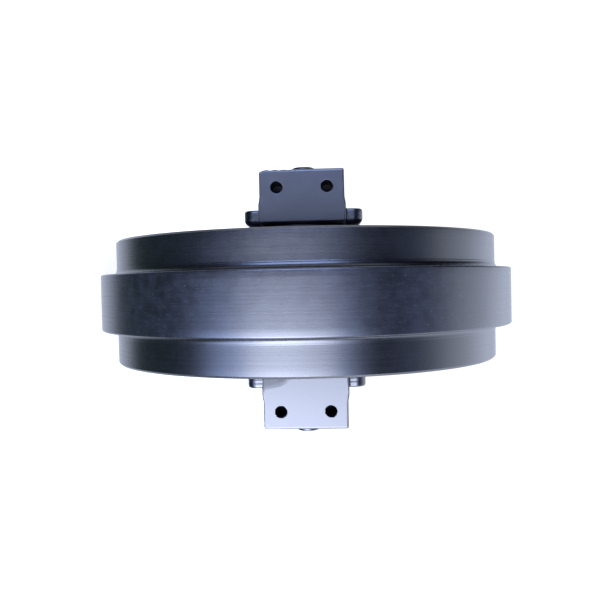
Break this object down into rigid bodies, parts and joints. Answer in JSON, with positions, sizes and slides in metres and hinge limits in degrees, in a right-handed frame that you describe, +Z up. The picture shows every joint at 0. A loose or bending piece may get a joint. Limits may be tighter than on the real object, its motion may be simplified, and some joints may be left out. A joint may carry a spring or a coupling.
{
  "type": "excavator front idler",
  "caption": "Flanged guide wheel for an excavator's track, turning on a fixed sealed shaft whose ends are held by forged brackets with tapped holes.",
  "frame": {"origin": "the wheel's centre: on the axle, midway between the two treads", "axes": "+Y along the axle towards the left bracket (filler plug end), +Z up with the wheel standing on its flange, -X the way the brackets' bolting faces look, +X the travel direction"},
  "size_m": [0.5809, 0.385, 0.581],
  "materials": {
    "black_enamel_wheel": "semi-gloss black enamel over turned steel",
    "black_enamel_bracket": "semi-gloss black enamel over a forging with milled faces",
    "plug_enamel": "semi-gloss black enamel over a steel plug",
    "bearing_bronze": "bored bronze",
    "seal_iron": "lapped hard cast iron",
    "seal_rubber": "moulded nitrile rubber",
    "ground_steel": "ground and hardened steel",
    "pin_steel": "oiled spring steel",
    "copper_washer": "soft copper"
  },
  "bodies": {
    "axle_unit": {"fixed_seal_left": "seal_iron", "fixed_seal_right": "seal_iron", "fixed_toric_left": "seal_rubber", "fixed_toric_right": "seal_rubber", "shaft": "ground_steel", "bracket_left": "black_enamel_bracket", "bracket_right": "black_enamel_bracket", "shaft_o_ring_left": "seal_rubber", "shaft_o_ring_right": "seal_rubber", "lock_pin_left": "pin_steel", "lock_pin_right": "pin_steel", "retaining_rings_left": "pin_steel", "retaining_rings_right": "pin_steel", "filler_plug": "plug_enamel", "drain_plug": "plug_enamel", "plug_washer_left": "copper_washer", "plug_washer_right": "copper_washer"},
    "wheel": {"rim": "black_enamel_wheel", "web_left": "black_enamel_wheel", "web_right": "black_enamel_wheel", "hub": "black_enamel_wheel", "rim_welds": "black_enamel_wheel", "hub_welds": "black_enamel_wheel", "bush_left": "bearing_bronze", "bush_right": "bearing_bronze", "turning_seal_left": "seal_iron", "turning_seal_right": "seal_iron", "turning_toric_left": "seal_rubber", "turning_toric_right": "seal_rubber"}
  },
  "joints": [
    {"name": "wheel_spin", "type": "hinge", "parent": "axle_unit", "child": "wheel", "pos_m": [0, 0, 0], "axis": [0, 1, 0], "continuous": true}
  ]
}
